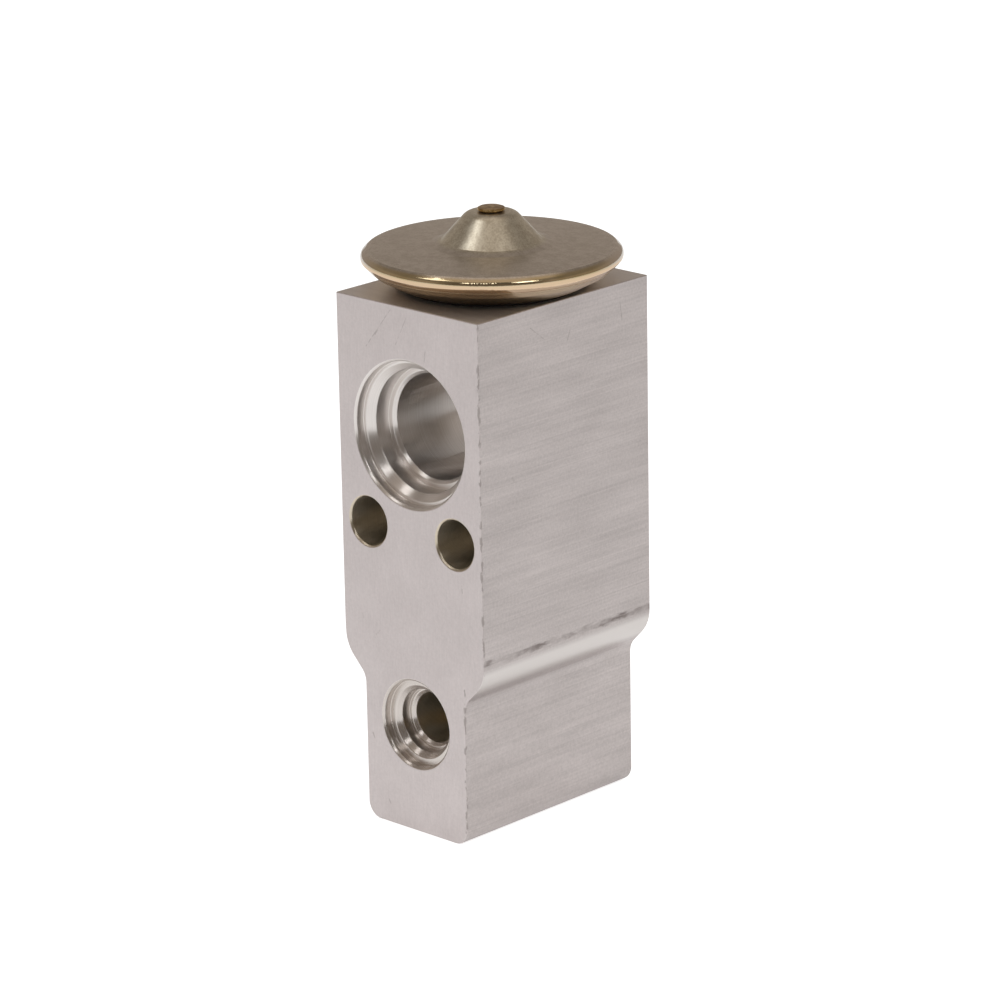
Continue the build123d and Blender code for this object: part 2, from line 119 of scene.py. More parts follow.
EASED = {"interpolation_type": "SMOOTHSTEP"}
COLOURS = {"data_type": "RGBA"}
print("hex 808080 is", round(linear("808080")[0], 3), "of white's light")

# %% [markdown]
# A pattern on metal has a real size, such as so many tool lines to the millimetre, so each
# material starts from the piece's own coordinates, scaled to millimetres. Turned, extruded and
# ground metals differ mostly in how long their grain is along each axis, so one stretched noise
# serves them all. Each material ends in the same way, with a shader and a very shallow bump.

# %% Start, grain and end of a material
BUMP_DEPTH = 0.02


def new_material(name):
    """An empty node material: returns it with its tree and a node of its points in millimetres."""
    material = bpy.data.materials.new(name)
    material.use_nodes = True
    tree = material.node_tree
    tree.nodes.clear()
    place = add_node(tree, "TexCoord")
    point = add_node(
        tree, "VectorMath", {0: place.outputs["Object"], "Scale": 1 / MM}, operation="SCALE"
    )
    return material, tree, point


def finish_surface(tree, inputs, height, strength):
    """Close a material: its shader's inputs, and a bump BUMP_DEPTH mm deep times the strength."""
    inputs_of_bump = {"Height": height, "Strength": strength, "Distance": BUMP_DEPTH * MM}
    bump = add_node(tree, "Bump", inputs_of_bump)
    shader = add_node(tree, "BsdfPrincipled", {**inputs, "Normal": bump})
    add_node(tree, "OutputMaterial", {"Surface": shader})


def streaks(tree, point, per_mm, detail):
    """Noise from 0 to 1, read at the point times its number of grains per mm along X, Y and Z."""
    stretched = add_node(tree, "VectorMath", {0: point, 1: per_mm}, operation="MULTIPLY")
    return add_node(tree, "TexNoise", {"Vector": stretched, "Scale": 1.0, "Detail": detail})


print("bumps are at most", BUMP_DEPTH, "mm deep")

# %% [markdown]
# A block that has been through a workshop has marks: a few fine scratches, some pits, and nicks
# down its sharp upright edges. They are far too shallow to change an outline, so they belong in
# the finish, where they catch the eye as thin darker lines. Each mark is a segment from one
# point to another, in millimetres, with a width. A point on the front is its X and Z, and one
# on the side is its Y and Z.

# %% Marks on the block
HALF_WIDTH = 12.7
HALF_DEPTH = 16.2
FOOT_HALF_WIDTH = 9.125
FOOT_TOP_Z = 22.0
SMUDGE = linear("6E6460")
MARK = linear("8C8480")
FRONT_MARKS = (
    ((-2.87, 71.22), (-7.44, 65.59), 0.10),
    ((0.0, 70.65), (-2.31, 66.23), 0.08),
    ((-5.3, 68.1), (-5.75, 67.5), 0.18),
    ((3.3, 66.7), (3.08, 65.33), 0.12),
    ((-6.9, 26.1), (-6.2, 26.8), 0.18),
    ((-9.5, 28.5), (-9.2, 28.0), 0.16),
    ((9.0, 36.2), (9.1, 35.3), 0.16),
    ((-8.0, 12.0), (-7.7, 11.3), 0.16),
    ((-5.3, 3.2), (-5.0, 2.7), 0.16),
)
SIDE_MARKS = (
    ((-10.3, 50.2), (-9.9, 49.7), 0.22),
    ((-1.4, 12.8), (-1.2, 12.4), 0.18),
    ((1.09, 67.64), (0.49, 66.16), 0.12),
    ((-6.46, 69.49), (-3.67, 67.31), 0.08),
    ((10.79, 69.26), (11.15, 66.88), 0.10),
)
print(len(FRONT_MARKS), "marks on the front,", len(SIDE_MARKS), "on the side")

# %% Scratches


def scratches(tree, place, marks):
    """From 0 to 1 near any of the segments from start to end: 1 less distance over width.
    The nearest point of a segment lies at the share (p - start).(end - start)/length squared.
    A noise 0.8 mm across breaks the line up, as a real scratch skips."""
    found = None
    for start, end, width in marks:
        start = np.array([*start, 0.0])
        way = np.array([*end, 0.0]) - start
        away = add_node(tree, "VectorMath", {0: place, 1: start}, operation="SUBTRACT")
        inputs = {0: away, 1: way / (way @ way)}
        share = add_node(tree, "VectorMath", inputs, operation="DOT_PRODUCT")
        share = add_node(tree, "MapRange", {0: share})
        near = add_node(tree, "VectorMath", {0: way, "Scale": share}, operation="SCALE")
        distance = add_node(tree, "VectorMath", {0: away, 1: near}, operation="DISTANCE")
        mark = add_node(tree, "MapRange", {0: distance, 1: 0.0, 2: width, 3: 1.0, 4: 0.0})
        if found is not None:
            mark = add_node(tree, "Math", {0: found, 1: mark}, operation="MAXIMUM")
        found = mark
    gaps = streaks(tree, place, (1.3, 1.3, 1.3), 3.0)
    kept = add_node(tree, "MapRange", {0: gaps, 1: 0.38, 2: 0.58, 3: 0.15, 4: 1.0}, **EASED)
    return add_node(tree, "Math", {0: found, 1: kept}, operation="MULTIPLY")


lengths = [np.hypot(*np.subtract(end, start)) for start, end, _ in FRONT_MARKS + SIDE_MARKS]
print("the longest mark is", round(float(max(lengths)), 1), "mm long")

# %% Nicks down the near edges
NICK_REACH = 0.4


def worn_edge(tree, point):
    """Nicks up to NICK_REACH mm wide and about a millimetre long down the near upright edges: a
    noise gives each height a reach, and the nick is the reach less the distance from the edge.
    The foot's edge ends at FOOT_TOP_Z, so above it its distance is made a millimetre longer."""
    flat = add_node(tree, "VectorMath", {0: point, 1: (1, 1, 0)}, operation="MULTIPLY")
    inputs = {0: flat, 1: (HALF_WIDTH, -HALF_DEPTH, 0)}
    distance = add_node(tree, "VectorMath", inputs, operation="DISTANCE")
    inputs = {0: flat, 1: (FOOT_HALF_WIDTH, -HALF_DEPTH, 0)}
    foot_distance = add_node(tree, "VectorMath", inputs, operation="DISTANCE")
    height = add_node(tree, "SeparateXYZ", {0: point}).outputs["Z"]
    above_foot = add_node(tree, "MapRange", {0: height, 1: FOOT_TOP_Z, 2: FOOT_TOP_Z + 0.5})
    inputs = {0: foot_distance, 1: above_foot}
    foot_distance = add_node(tree, "Math", inputs, operation="ADD")
    inputs = {0: distance, 1: foot_distance}
    distance = add_node(tree, "Math", inputs, operation="MINIMUM")
    ragged = streaks(tree, point, (2.0, 2.0, 0.9), 4.0)
    inputs = {0: ragged, 1: 0.4, 2: 0.68, 3: 0.0, 4: NICK_REACH}
    reach = add_node(tree, "MapRange", inputs, **EASED)
    depth = add_node(tree, "Math", {0: reach, 1: distance}, operation="SUBTRACT")
    return add_node(tree, "MapRange", {0: depth, 1: 0.0, 2: 0.2, 3: 0.0, 4: 0.6}, **EASED)


print("nicks reach", NICK_REACH, "mm from the edges")

# %% [markdown]
# The block starts as a length of extruded bar, whose sides keep the die's fine lines from front
# to rear. To the eye this is a pale warm grey metal of middling roughness, a little streaked.
# The shoulder, where the bar steps in to the foot, gets a lighter band of painted highlight,
# for the bright floor that it mirrors, and just above it runs a broken dark line, rubbed there by
# other bars. Both are found from the height, because they run along the whole bar.

# %% Extruded sides
SHOULDER_HIGHLIGHT_Z = (21.0, 22.5, 24.3, 25.6)
RUBBED_LINE_Z = (26.2, 26.95, 27.5)
RUBBED_WAVE = 1.6


def extruded_aluminium():
    """Colour by the sum of three noises: die lines 0.2 mm apart, clouds 2 mm high and 11 mm
    long, and grit 0.3 mm across. The shoulder's painted highlight rises and falls between the
    four heights. The line is strongest where the height plus RUBBED_WAVE times a noise is the
    middle of its three."""
    material, tree, point = new_material("extruded_aluminium")
    fine = streaks(tree, point, (5.0, 0.04, 5.0), 3.0)
    cloud = streaks(tree, point, (0.5, 0.09, 0.5), 3.0)
    grit = streaks(tree, point, (3.0, 3.0, 3.0), 3.0)
    both = add_node(tree, "Math", {0: fine, 1: cloud}, operation="ADD")
    both = add_node(tree, "Math", {0: both, 1: grit}, operation="ADD")
    share = add_node(tree, "MapRange", {0: both, 1: 0.9, 2: 2.1})
    inputs = {0: share, 6: linear("AFA8A6"), 7: linear("D3CBC9")}
    colour = add_node(tree, "Mix", inputs, **COLOURS)
    xyz = add_node(tree, "SeparateXYZ", {0: point})
    height = xyz.outputs["Z"]
    # painted highlight: the shoulder's lighter band stands for the bright floor that it mirrors
    start, full, still_full, end = SHOULDER_HIGHLIGHT_Z
    below = add_node(tree, "MapRange", {0: height, 1: start, 2: full}, **EASED)
    inputs = {0: height, 1: still_full, 2: end, 3: 1.0, 4: 0.0}
    above = add_node(tree, "MapRange", inputs, **EASED)
    painted_highlight = add_node(tree, "Math", {0: below, 1: above}, operation="MULTIPLY")
    colour = add_node(tree, "Mix", {0: painted_highlight, 6: colour, 7: linear("DCD7D4")}, **COLOURS)
    ragged = streaks(tree, point, (0.8, 0.5, 2.5), 4.0)
    inputs = {0: ragged, 1: RUBBED_WAVE, 2: height}
    wavy = add_node(tree, "Math", inputs, operation="MULTIPLY_ADD")
    start, middle, end = RUBBED_LINE_Z
    upper = add_node(tree, "MapRange", {0: wavy, 1: middle, 2: end, 3: 1.0, 4: 0.0}, **EASED)
    lower = add_node(tree, "MapRange", {0: wavy, 1: start, 2: middle}, **EASED)
    line = add_node(tree, "Math", {0: upper, 1: lower}, operation="MULTIPLY")
    gaps = streaks(tree, point, (0.3, 0.22, 0.3), 3.0)
    broken = add_node(tree, "MapRange", {0: gaps, 1: 0.4, 2: 0.6, 3: 0.2, 4: 0.8}, **EASED)
    smudge = add_node(tree, "Math", {0: line, 1: broken}, operation="MULTIPLY")
    colour = add_node(tree, "Mix", {0: smudge, 6: colour, 7: SMUDGE}, **COLOURS)
    face = add_node(tree, "CombineXYZ", {"X": xyz.outputs["Y"], "Y": height})
    found = scratches(tree, face, SIDE_MARKS)
    inputs = {0: xyz.outputs["X"], 1: HALF_WIDTH - 0.3, 2: HALF_WIDTH - 0.1, 4: 0.7}
    near_side = add_node(tree, "MapRange", inputs)
    found = add_node(tree, "Math", {0: found, 1: near_side}, operation="MULTIPLY")
    found = add_node(tree, "Math", {0: found, 1: worn_edge(tree, point)}, operation="MAXIMUM")
    colour = add_node(tree, "Mix", {0: found, 6: colour, 7: MARK}, **COLOURS)
    rough = add_node(tree, "MapRange", {0: fine, 1: 0.3, 2: 0.7, 3: 0.36, 4: 0.42})
    inputs = {"Base Color": colour, "Metallic": 1.0, "Roughness": rough}
    finish_surface(tree, inputs, fine, 0.05)
    return material


extruded = extruded_aluminium()
print(extruded.name, "has", len(extruded.node_tree.nodes), "nodes")

# %% [markdown]
# The bar is sawn to length, and the cut ends are linished, which means ground on a belt. That
# takes the saw marks off and leaves the ends brighter and more even than the sides, with a very
# fine upright grain.

# %% Linished ends


def linished_aluminium():
    """Colour by the sum of three noises: an upright grain 0.25 mm wide and 1.7 mm long, clouds
    8 mm across and grit 0.3 mm across. The scratches lie on the front end only."""
    material, tree, point = new_material("linished_aluminium")
    grain = streaks(tree, point, (4.0, 4.0, 0.6), 4.0)
    cloud = streaks(tree, point, (0.12, 0.12, 0.12), 2.0)
    grit = streaks(tree, point, (3.0, 3.0, 3.0), 3.0)
    both = add_node(tree, "Math", {0: grain, 1: cloud}, operation="ADD")
    both = add_node(tree, "Math", {0: both, 1: grit}, operation="ADD")
    share = add_node(tree, "MapRange", {0: both, 1: 0.9, 2: 2.1})
    inputs = {0: share, 6: linear("C6BEBD"), 7: linear("D9D1D0")}
    colour = add_node(tree, "Mix", inputs, **COLOURS)
    xyz = add_node(tree, "SeparateXYZ", {0: point})
    face = add_node(tree, "CombineXYZ", {"X": xyz.outputs["X"], "Y": xyz.outputs["Z"]})
    found = scratches(tree, face, FRONT_MARKS)
    inputs = {0: xyz.outputs["Y"], 1: 0.1 - HALF_DEPTH, 2: 0.2 - HALF_DEPTH, 3: 0.55, 4: 0.0}
    near_front = add_node(tree, "MapRange", inputs)
    found = add_node(tree, "Math", {0: found, 1: near_front}, operation="MULTIPLY")
    found = add_node(tree, "Math", {0: found, 1: worn_edge(tree, point)}, operation="MAXIMUM")
    colour = add_node(tree, "Mix", {0: found, 6: colour, 7: MARK}, **COLOURS)
    rough = add_node(tree, "MapRange", {0: grain, 1: 0.3, 2: 0.7, 3: 0.37, 4: 0.42})
    inputs = {"Base Color": colour, "Metallic": 1.0, "Roughness": rough}
    finish_surface(tree, inputs, grain, 0.04)
    return material


linished = linished_aluminium()
print(linished.name, "has", len(linished.node_tree.nodes), "nodes")

# %% [markdown]
# The top is milled flat, because the head screws down on to it. It is the cleanest metal of the
# block, brighter than the sides, and its shallow tool lines blur the head's reflection.

# %% Milled top


def milled_aluminium():
    """Colour and roughness by one noise: tool lines 0.3 mm apart and 20 mm long, along X."""
    material, tree, point = new_material("milled_aluminium")
    lines = streaks(tree, point, (0.05, 3.0, 1.0), 3.0)
    inputs = {0: lines, 6: linear("D6D1CE"), 7: linear("EAE6E4")}
    colour = add_node(tree, "Mix", inputs, **COLOURS)
    rough = add_node(tree, "MapRange", {0: lines, 1: 0.3, 2: 0.7, 3: 0.44, 4: 0.5})
    inputs = {"Base Color": colour, "Metallic": 1.0, "Roughness": rough}
    finish_surface(tree, inputs, lines, 0.05)
    return material


milled = milled_aluminium()
print(milled.name, "has", len(milled.node_tree.nodes), "nodes")

# %% [markdown]
# The ports are turned and the other holes are drilled, and both leave fine rings round the
# hole's axis. Rings smear each reflection across themselves, which draws the long soft streaks
# down a bore that tell the eye it is machined. The shader's anisotropy does that smearing, so
# the rings themselves can stay shallow. The drilled holes are a shade browner.

# %% Turned and drilled holes
RINGS_PER_MM = 5.0
RING_SMEAR = 0.85


def turned_aluminium(name, centre_z, rough, dull, bright):
    """Rings by a noise of the depth plus the radius about the hole's axis, at height centre_z.
    The shader's tangent is the surface's normal x the rings' direction, which is the offset
    from the axis x the axis."""
    material, tree, point = new_material(name)
    xyz = add_node(tree, "SeparateXYZ", {0: point})
    across = add_node(tree, "CombineXYZ", {"X": xyz.outputs["X"], "Z": xyz.outputs["Z"]})
    offset = add_node(tree, "VectorMath", {0: across, 1: (0, 0, centre_z)}, operation="SUBTRACT")
    radius = add_node(tree, "VectorMath", {0: offset}, operation="LENGTH")
    depth = add_node(tree, "Math", {0: xyz.outputs["Y"]}, operation="ABSOLUTE")
    along = add_node(tree, "Math", {0: depth, 1: radius}, operation="ADD")
    inputs = {"W": along, "Scale": RINGS_PER_MM, "Detail": 2.0}
    rings = add_node(tree, "TexNoise", inputs, noise_dimensions="1D")
    inputs = {0: rings, 6: linear(dull), 7: linear(bright)}
    colour = add_node(tree, "Mix", inputs, **COLOURS)
    ring_way = add_node(tree, "VectorMath", {0: offset, 1: (0, 1, 0)}, operation="CROSS_PRODUCT")
    surface = add_node(tree, "NewGeometry")
    inputs = {0: surface.outputs["Normal"], 1: ring_way}
    smear = add_node(tree, "VectorMath", inputs, operation="CROSS_PRODUCT")
    inputs = {
        "Base Color": colour,
        "Metallic": 1.0,
        "Roughness": rough,
        "Anisotropic": RING_SMEAR,
        "Tangent": smear,
    }
    finish_surface(tree, inputs, rings, 0.2)
    return material


print("tool rings are", 1 / RINGS_PER_MM, "mm apart")

# %% Materials of the block
SUCTION_Z = 54.9
INLET_Z = 15.05
OUTLET_Z = 26.6
HOLE_Z = 41.6
block_materials = [
    linished,
    extruded,
    turned_aluminium("turned_suction_port", SUCTION_Z, 0.3, "DAD3CE", "F2EEEB"),
    turned_aluminium("turned_inlet_port", INLET_Z, 0.26, "C8C0BA", "E2DCD7"),
    turned_aluminium("turned_outlet_port", OUTLET_Z, 0.26, "C8C0BA", "E2DCD7"),
    turned_aluminium("drilled_bore", HOLE_Z, 0.34, "CDC2AE", "E2D8C6"),
    milled,
]
LINISHED, EXTRUDED, SUCTION, INLET, OUTLET, DRILLED, MILLED = range(len(block_materials))
print(len(block_materials), "finishes on the block")

# %% [markdown]
# The CAD mesh of the block is right in every size, but its triangles are loose and its edges
# are knife sharp. A copy is welded into one closed mesh and its flat regions are made whole
# again, so that its edges can be broken later. That is better than a new block, because every
# hole stays just where the CAD model has it.

# %% Weld a copy of the block
SAME_POINT = 0.001
FLAT_WITHIN = 0.05


def welded_copy(node_name, piece_name):
    """Merge a CAD node's points that lie within SAME_POINT mm of each other and dissolve edges
    between faces that are flat within FLAT_WITHIN degrees, as a new object."""
    shape = bmesh.new()
    shape.from_mesh(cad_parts[node_name].data)
    bmesh.ops.remove_doubles(shape, verts=shape.verts, dist=SAME_POINT * MM)
    bmesh.ops.dissolve_limit(
        shape, angle_limit=np.radians(FLAT_WITHIN), verts=shape.verts, edges=shape.edges
    )
    shape.verts.index_update()
    points = [tuple(vertex.co) for vertex in shape.verts]
    faces = [[vertex.index for vertex in face.verts] for face in shape.faces]
    shape.free()
    mesh = bpy.data.meshes.new(piece_name)
    mesh.from_pydata(points, [], faces)
    piece = bpy.data.objects.new(piece_name, mesh)
    bpy.context.scene.collection.objects.link(piece)
    return piece


block = welded_copy("valve_body", "block_skin")
mesh = block.data
print("block", len(mesh.vertices), "points", len(mesh.polygons), "faces")

# %% [markdown]
# Each face gets the finish of the tool that made it, and where a face lies says which tool that
# was. A hole is drilled unless it lies near an end and within a port's radius, or is the bore
# between the two suction ports. The skin is whatever lies far out at the sides, with the foot's
# sides and the shoulders. The two ends and the top come last, so that they win.

# %% Places of the block's faces
high = np.array(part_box("valve_body")[1]) / MM
TOUCHING = 0.01
FLAT_ON = 0.99
centres = np.empty(len(mesh.polygons) * 3)
normals = np.empty(len(mesh.polygons) * 3)
mesh.polygons.foreach_get("center", centres)
mesh.polygons.foreach_get("normal", normals)
centres = centres.reshape(-1, 3) / MM
normals = normals.reshape(-1, 3)
out, along, height = np.abs(centres[:, 0]), np.abs(centres[:, 1]), centres[:, 2]
on_end = (np.abs(normals[:, 1]) > FLAT_ON) & (along > high[1] - TOUCHING)
on_top = height > high[2] - TOUCHING
print("block's far corner", high.round(2), "faces on the ends", on_end.sum(), "on top", on_top.sum())

# %% Skin, ports and bores
SIDE_SLACK = 0.05
FOOT_SKIN_X = 6.8
SHOULDER_TOP_Z = 25.7
PORT_DEPTH = 5.2
SUCTION_REACH = 10.3
PIPE_REACH = 6.4
SUCTION_BORE_RADIUS = 7.15
BORE_SLACK = 0.3
on_side = out > high[0] - SIDE_SLACK
on_foot = (out > FOOT_SKIN_X) & (height < SHOULDER_TOP_Z) & ~on_end
on_skin = on_side | on_foot | on_top | (height < TOUCHING)
near_end = along > high[1] - PORT_DEPTH


def from_axis(port_z):
    """Distance of each face's centre from a hole's axis: the hypotenuse of x and z - port_z."""
    return np.hypot(centres[:, 0], height - port_z)


finish = np.full(len(centres), DRILLED)
finish[near_end & (from_axis(SUCTION_Z) < SUCTION_REACH)] = SUCTION
finish[near_end & (from_axis(INLET_Z) < PIPE_REACH)] = INLET
finish[near_end & (from_axis(OUTLET_Z) < PIPE_REACH) & (centres[:, 1] > 0)] = OUTLET
finish[np.abs(from_axis(SUCTION_Z) - SUCTION_BORE_RADIUS) < BORE_SLACK] = SUCTION
finish[on_skin] = EXTRUDED
finish[on_end] = LINISHED
finish[on_top] = MILLED
for material in block_materials:
    mesh.materials.append(material)
mesh.polygons.foreach_set("material_index", finish.astype(np.int32))
print("faces by finish", np.bincount(finish))

# %% [markdown]
# No machined edge is knife sharp. A bevel of a tenth of a millimetre breaks each one, and that
# narrow strip catches the light as a thin bright line, which makes the block look solid. A
# modifier does it, so the mesh below stays simple.

# %% Break the block's edges
EDGE_BREAK = 0.12
SHARP_OVER = 30
BROKEN_OVER = 40
mesh.shade_smooth()
mesh.set_sharp_from_angle(angle=np.radians(SHARP_OVER))
bevel = block.modifiers.new("edge_break", "BEVEL")
bevel.width = EDGE_BREAK * MM
bevel.segments = 2
bevel.limit_method = "ANGLE"
bevel.angle_limit = np.radians(BROKEN_OVER)
bevel.harden_normals = True
bevel.use_clamp_overlap = False
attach(block, "block")
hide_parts("valve_body")
print("edges over", BROKEN_OVER, "degrees are broken by", EDGE_BREAK, "mm")

# %% [markdown]
# The power head is a cover and a base, both pressed from steel and welded together round their
# rim, with a plug in the cover's hub. Each is a surface of revolution, so a profile of radius
# and height is enough: its corners are rounded by arcs, and it is turned about the Z axis as
# whole arrays. A relief may move the points in or out, where a piece isn't quite round.

# %% Rounded profile


def rounded(corners, radii, steps=8):
    """Profile whose corners become arcs: an arc starts radius x tan(turn / 2) before its corner."""
    corners = np.array(corners, float)
    profile = [corners[0]]
    for before, corner, after, radius in zip(corners, corners[1:], corners[2:], radii):
        arrive, leave = corner - before, after - corner
        arrive, leave = arrive / np.linalg.norm(arrive), leave / np.linalg.norm(leave)
        turn = np.arccos(np.clip(arrive @ leave, -1, 1))
        side = np.sign(arrive[0] * leave[1] - arrive[1] * leave[0])
        normal = side * np.array([-arrive[1], arrive[0]])
        centre = corner - arrive * radius * np.tan(turn / 2) + normal * radius
        angles = np.linspace(0, turn, steps)[:, None]
        profile.extend(centre - radius * np.cos(angles) * normal + radius * np.sin(angles) * arrive)
    profile.append(corners[-1])
    return np.array(profile)


bend = rounded([(0, 0), (1, 0), (1, 1)], [0.5])
print("one rounded corner takes", len(bend) - 2, "points and starts at", bend[1].round(2))

# %% Object from a grid
MERGED_WITHIN = 0.0001
CREASE_OVER = 50


def grid_object(name, x, y, z, wrap_rows):
    """Object from a grid of points in mm: four neighbours make a face, and columns always wrap.
    Points closer than MERGED_WITHIN become one, so that a row of equal points closes a pole."""
    rows, columns = x.shape
    index = np.arange(rows * columns).reshape(rows, columns)
    if wrap_rows:
        index = np.vstack([index, index[:1]])
    right = np.roll(index, -1, axis=1)
    faces = np.stack([index[:-1], right[:-1], right[1:], index[1:]], axis=-1).reshape(-1, 4)
    points = np.stack([x, y, z], axis=-1).reshape(-1, 3) * MM
    mesh = bpy.data.meshes.new(name)
    mesh.from_pydata(points.tolist(), [], faces.tolist())
    shape = bmesh.new()
    shape.from_mesh(mesh)
    bmesh.ops.remove_doubles(shape, verts=shape.verts, dist=MERGED_WITHIN * MM)
    bmesh.ops.recalc_face_normals(shape, faces=shape.faces)
    shape.to_mesh(mesh)
    shape.free()
    mesh.shade_smooth()
    mesh.set_sharp_from_angle(angle=np.radians(CREASE_OVER))
    made = bpy.data.objects.new(name, mesh)
    bpy.context.scene.collection.objects.link(made)
    return made


print("edges over", CREASE_OVER, "degrees stay sharp on the new pieces")

# %% Surface of revolution


def turned(name, profile, relief, around, wrap=True):
    """Surface of revolution: (r, z) at angle a lies at (r cos a, r sin a, z). Relief adds to r."""
    angles = np.linspace(0, 2 * np.pi, around, endpoint=False)
    radius = np.repeat(profile[:, :1], around, axis=1)
    height = np.repeat(profile[:, 1:], around, axis=1)
    if relief is not None:
        radius = radius + relief(angles, profile)
    return grid_object(name, radius * np.cos(angles), radius * np.sin(angles), height, wrap)


cover_low, cover_high = (np.array(corner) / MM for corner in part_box("head_cover"))
HEAD_RADIUS = float(cover_high[0])
HUB_TOP_Z = float(cover_high[2])
COVER_BOTTOM_Z = float(cover_low[2])
print("head radius", round(HEAD_RADIUS, 2), "hub top", round(HUB_TOP_Z, 2))

# %% [markdown]
# The cover is nearly flat, with a hub like a small blunt cone in its middle, and it turns down
# round the rim. Its outside and its inside are two open profiles, one after the other, so that
# it has a real thickness, with a hole through the hub for the plug.

# %% Profile of the cover
STEM_HOLE = 0.8
COVER_SHEET = 0.8
cover_outside = rounded(
    [
        (STEM_HOLE, HUB_TOP_Z),
        (3.24, HUB_TOP_Z),
        (6.63, 77.94),
        (8.1, 77.5),
        (14.6, 77.16),
        (16.45, 77.06),
        (HEAD_RADIUS, 76.42),
        (HEAD_RADIUS, 75.62),
        (16.56, 74.94),
        (16.45, 75.3),
        (16.42, COVER_BOTTOM_Z),
    ],
    [1.7, 0.25, 0.8, 0.5, 0.2, 0.85, 0.4, 0.02, 0.05],
)
cover_inside = rounded(
    [
        (14.3, COVER_BOTTOM_Z),
        (6.4, 76.8),
        (3.0, HUB_TOP_Z - COVER_SHEET),
        (STEM_HOLE, HUB_TOP_Z - COVER_SHEET),
    ],
    [0.8, 0.8],
)
print("cover's profile", len(cover_outside) + len(cover_inside), "points")

# %% [markdown]
# The weld melts the rim all the way round. It is nearly even, and only where it was started is
# it lumpy, so the rim's radius gets waves that are a few thousandths of a millimetre high, and
# a tenth at the start. That is too fine for the profile, and too coarse for a bump.

# %% Cover
WELD_START = np.radians(-49.5)
WELD_START_SPREAD = np.radians(6)
WELD_WAVE = 0.004
WELD_START_WAVE = 0.10
WELD_SINK = 0.03
WELD_WAVES_ROUND = (19, 37, 61, 103, 149)
WELD_INSIDE_RADIUS = 16.5
WELD_FADE = 0.5


def weld_relief(angles, profile):
    """Share x (height x wave - WELD_SINK). The wave is the mean of sines with 19 to 149 waves
    round the rim. The height is WELD_WAVE, plus WELD_START_WAVE x exp(-(angle / spread)^4) from
    the weld's start. The share goes from 0 at WELD_INSIDE_RADIUS to 1 half a millimetre out."""
    random = np.random.default_rng(5)
    counts = np.array(WELD_WAVES_ROUND)[:, None]
    phases = random.uniform(0, 2 * np.pi, counts.shape)
    wave = np.sin(counts * angles + phases).mean(axis=0)
    away = np.abs((angles - WELD_START + np.pi) % (2 * np.pi) - np.pi)
    height = WELD_WAVE + WELD_START_WAVE * np.exp(-((away / WELD_START_SPREAD) ** 4))
    share = np.clip((profile[:, 0] - WELD_INSIDE_RADIUS) / WELD_FADE, 0, 1)[:, None]
    return share * height * wave - share * WELD_SINK


cover = turned("head_cover_shell", np.vstack([cover_outside, cover_inside]), weld_relief, 960)
print("cover", len(cover.data.polygons), "faces")

# %% [markdown]
# The base is a dish with a neck that screws into the block. Its flange meets the cover's rim at
# the seam, and its outside, flange and inside make one closed profile.

# %% Base
NECK_RADIUS = 10.0
NECK_BORE = 7.0
base_bottom_z = float(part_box("head_base")[0][2]) / MM
base_profile = rounded(
    [
        (NECK_RADIUS, base_bottom_z),
        (NECK_RADIUS, 72.45),
        (12.65, 72.45),
        (15.6, 74.04),
        (16.50, 74.88),
        (16.40, 75.2),
        (16.38, 76.0),
        (14.3, 76.0),
        (11.0, 74.2),
        (NECK_BORE, 74.2),
        (NECK_BORE, base_bottom_z),
    ],
    [0.05, 0.3, 0.2, 0.02, 0.02, 0.05, 0.05, 0.2, 0.1],
)
base = turned("head_base_shell", base_profile, None, 480)
print("base", len(base.data.polygons), "faces")

# %% [markdown]
# The head is filled with its gas through the hub, and a small plug closes the hole for good. It
# is squeezed as it is welded in, so its button isn't quite round, and a plain turned button
# would look too new.

# %% Plug
PLUG_STEM = 0.78
BUTTON_GAP = 0.02
plug_low_z, plug_top_z = (float(corner[2]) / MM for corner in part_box("charge_plug"))
plug_profile = rounded(
    [
        (0.0, plug_low_z),
        (PLUG_STEM, plug_low_z),
        (PLUG_STEM, HUB_TOP_Z + BUTTON_GAP),
        (1.5, HUB_TOP_Z + BUTTON_GAP),
        (1.86, HUB_TOP_Z + 0.24),
        (1.80, plug_top_z - 0.06),
        (0.0, plug_top_z),
    ],
    [0.05, 0.05, 0.1, 0.15, 0.12],
)
SQUEEZED_FROM = 0.9
SQUEEZE = 0.05
SMALL_SQUEEZE = 0.02


def pressed_relief(angles, profile):
    """Three waves round the button, SQUEEZE mm high, and seven smaller ones. They grow from
    nothing at radius SQUEEZED_FROM to full height at twice that."""
    share = np.clip((profile[:, 0] - SQUEEZED_FROM) / SQUEEZED_FROM, 0, 1)[:, None]
    return share * (SQUEEZE * np.sin(3 * angles + 0.6) + SMALL_SQUEEZE * np.sin(7 * angles))


plug = turned("charge_plug_button", plug_profile, pressed_relief, 96, wrap=False)
print("plug", len(plug.data.polygons), "faces")

# %% [markdown]
# The head is plated steel with a faint gold passivation, satin on the flat and a little greener
# on the hub. The weld's heat has turned the rim gold near the weld's start, with olive patches,
# and the metal just under the seam a pale brown. The dish below that is a darker brown of
# painted shade, for the shade under the rim and the dark block top that it mirrors. The melted
# rim is also much smoother, so it mirrors the room. All this depends on the radius, the height
# and the side, so one material holds it.

# %% Plated steel of the head
WELD_SIDE = (0.65, -0.76, 0.0)
GOLD_FROM_TO = (4.0, 13.0)
HUB_EDGE = (6.6, 7.4)
RIM_EDGE = (16.5, 16.9)
SMOOTH_EDGE = (15.8, 16.7)
SEAM_Z = (75.9, 76.15)
DISH_SHADE_Z = (74.7, 75.1)


